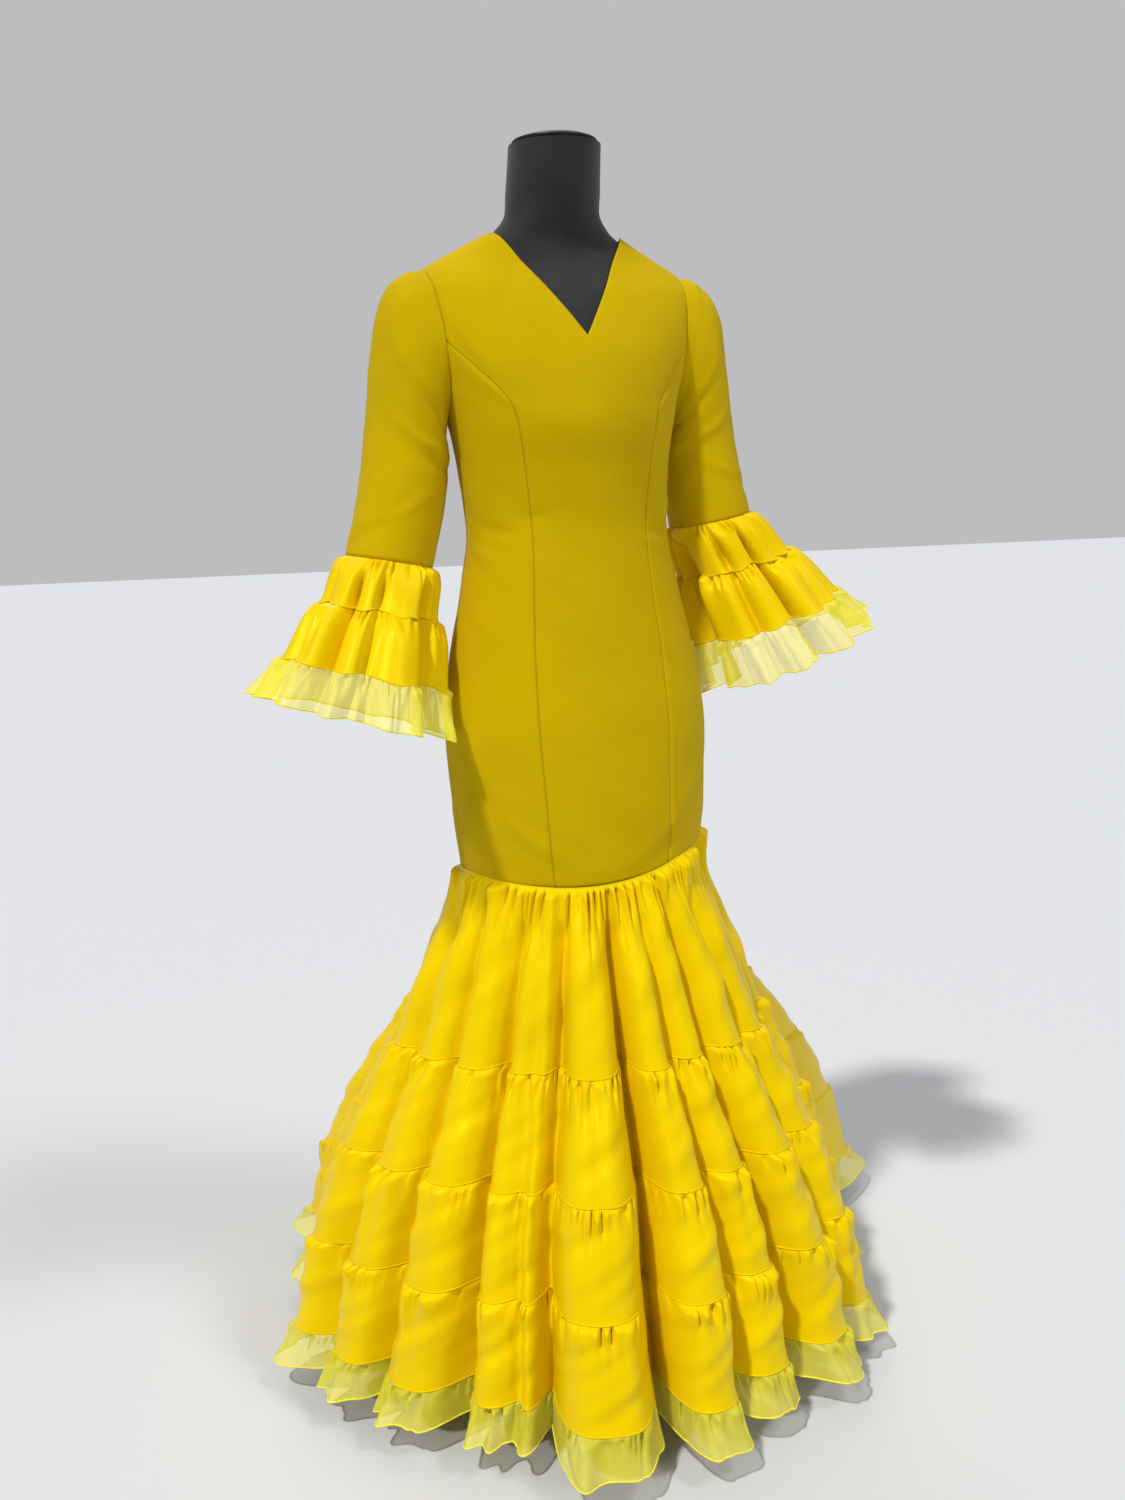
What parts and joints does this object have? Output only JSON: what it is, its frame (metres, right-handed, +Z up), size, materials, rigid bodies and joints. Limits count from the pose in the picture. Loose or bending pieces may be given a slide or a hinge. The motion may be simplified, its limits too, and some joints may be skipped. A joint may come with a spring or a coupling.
{
  "type": "flamenco dress on a limbless dress form",
  "caption": "Fitted long-sleeved flamenco dress with a flared skirt of gathered satin tiers, organza ruffles and frilled cuffs, worn by a standing dress form.",
  "frame": {"origin": "on the floor, at the middle of the underside of the form's base, on the pole's axis", "axes": "+Z up along the pole, -Y is the wearer's front, +X is the wearer's left"},
  "size_m": [0.993, 0.9049, 1.5564],
  "materials": {
    "crepe": "matte stretch crepe, deep golden yellow",
    "satin": "soft satin, bright yellow",
    "organza": "sheer crisp organza with a rolled edge",
    "zip": "nylon coil, yellow",
    "form_cover": "black stretch cover",
    "form_metal": "black satin paint"
  },
  "bodies": {
    "root": {"centre_front": "crepe", "side_front_l": "crepe", "side_front_r": "crepe", "side_back_l": "crepe", "side_back_r": "crepe", "back_l": "crepe", "back_r": "crepe", "back_zip": "zip", "zip_slider": "zip", "sleeve_l": "crepe", "sleeve_r": "crepe", "cuff_tier1_l": "satin", "cuff_tier1_r": "satin", "cuff_tier2_l": "satin", "cuff_tier2_r": "satin", "cuff_ruffle_l": "organza", "cuff_ruffle_r": "organza", "skirt_tier1": "satin", "skirt_tier2": "satin", "skirt_tier3": "satin", "skirt_tier4": "satin", "hem_ruffle": "organza", "form_torso": "form_cover", "form_neck_cap": "form_metal", "form_pole": "form_metal", "form_base": "form_metal"}
  },
  "joints": []
}
